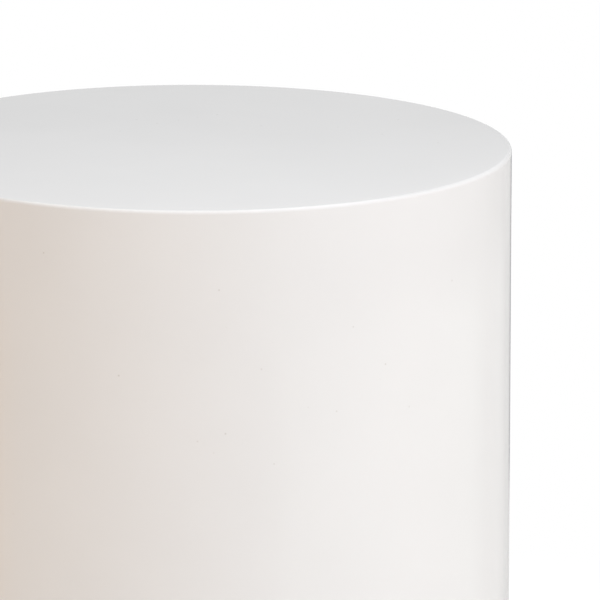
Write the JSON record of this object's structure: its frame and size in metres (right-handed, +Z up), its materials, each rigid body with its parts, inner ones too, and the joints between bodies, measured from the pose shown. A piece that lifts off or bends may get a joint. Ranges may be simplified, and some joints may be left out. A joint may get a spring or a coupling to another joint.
{
  "type": "drum side table",
  "caption": "Round white gloss lacquered drum side table with a rounded rim, a bent-sheet wall on a plywood carcass, and screw levellers under its open base.",
  "frame": {"origin": "on the floor, on the drum's axis", "axes": "+Z up along the drum's axis; -Y is the side that faces the picture's camera; the wall's outer seam is at +Y"},
  "size_m": [0.45, 0.45, 0.5],
  "materials": {
    "lacquered_top": "gloss",
    "lacquered_wall": "gloss",
    "bending_plywood": "matte",
    "birch_plywood": "matte",
    "softwood_stile": "matte",
    "beech_dowel": "matte",
    "zinc_screws": "satin",
    "zinc_insert": "satin",
    "zinc_stem": "satin",
    "nylon_foot": "satin",
    "rubber_sole": "matte"
  },
  "bodies": {
    "drum": {"top_panel": "lacquered_top", "outer_skin": "lacquered_wall", "inner_skin": "bending_plywood", "top_ring": "birch_plywood", "middle_ring": "birch_plywood", "base_ring": "birch_plywood", "stile_1": "softwood_stile", "stile_2": "softwood_stile", "stile_3": "softwood_stile", "stile_4": "softwood_stile", "stile_5": "softwood_stile", "stile_6": "softwood_stile", "top_dowels": "beech_dowel", "top_screws": "zinc_screws", "stile_screws": "zinc_screws", "insert_screws": "zinc_screws", "threaded_insert_1": "zinc_insert", "threaded_insert_2": "zinc_insert", "threaded_insert_3": "zinc_insert", "threaded_insert_4": "zinc_insert"},
    "foot_1": {"leveller_foot_1": "nylon_foot", "leveller_sole_1": "rubber_sole"},
    "stem_1": {"leveller_stem_1": "zinc_stem"},
    "foot_2": {"leveller_foot_2": "nylon_foot", "leveller_sole_2": "rubber_sole"},
    "stem_2": {"leveller_stem_2": "zinc_stem"},
    "foot_3": {"leveller_foot_3": "nylon_foot", "leveller_sole_3": "rubber_sole"},
    "stem_3": {"leveller_stem_3": "zinc_stem"},
    "foot_4": {"leveller_foot_4": "nylon_foot", "leveller_sole_4": "rubber_sole"},
    "stem_4": {"leveller_stem_4": "zinc_stem"}
  },
  "joints": [
    {"name": "leveller_1_travel", "type": "slide", "parent": "drum", "child": "foot_1", "axis": [0, 0, -1], "range_m": [0, 0.0101]},
    {"name": "leveller_1_turn", "type": "hinge", "parent": "foot_1", "child": "stem_1", "pos_m": [0.12565, 0.12565, 0.02], "axis": [0, 0, -1], "range_deg": [0, 2880]},
    {"name": "leveller_2_travel", "type": "slide", "parent": "drum", "child": "foot_2", "axis": [0, 0, -1], "range_m": [0, 0.0101]},
    {"name": "leveller_2_turn", "type": "hinge", "parent": "foot_2", "child": "stem_2", "pos_m": [-0.12565, 0.12565, 0.02], "axis": [0, 0, -1], "range_deg": [0, 2880]},
    {"name": "leveller_3_travel", "type": "slide", "parent": "drum", "child": "foot_3", "axis": [0, 0, -1], "range_m": [0, 0.0101]},
    {"name": "leveller_3_turn", "type": "hinge", "parent": "foot_3", "child": "stem_3", "pos_m": [-0.12565, -0.12565, 0.02], "axis": [0, 0, -1], "range_deg": [0, 2880]},
    {"name": "leveller_4_travel", "type": "slide", "parent": "drum", "child": "foot_4", "axis": [0, 0, -1], "range_m": [0, 0.0101]},
    {"name": "leveller_4_turn", "type": "hinge", "parent": "foot_4", "child": "stem_4", "pos_m": [0.12565, -0.12565, 0.02], "axis": [0, 0, -1], "range_deg": [0, 2880]}
  ],
  "couplings": [
    {"joint": "leveller_1_travel", "follows": "leveller_1_turn", "m_per_rad": 0.00019894},
    {"joint": "leveller_2_travel", "follows": "leveller_2_turn", "m_per_rad": 0.00019894},
    {"joint": "leveller_3_travel", "follows": "leveller_3_turn", "m_per_rad": 0.00019894},
    {"joint": "leveller_4_travel", "follows": "leveller_4_turn", "m_per_rad": 0.00019894}
  ]
}
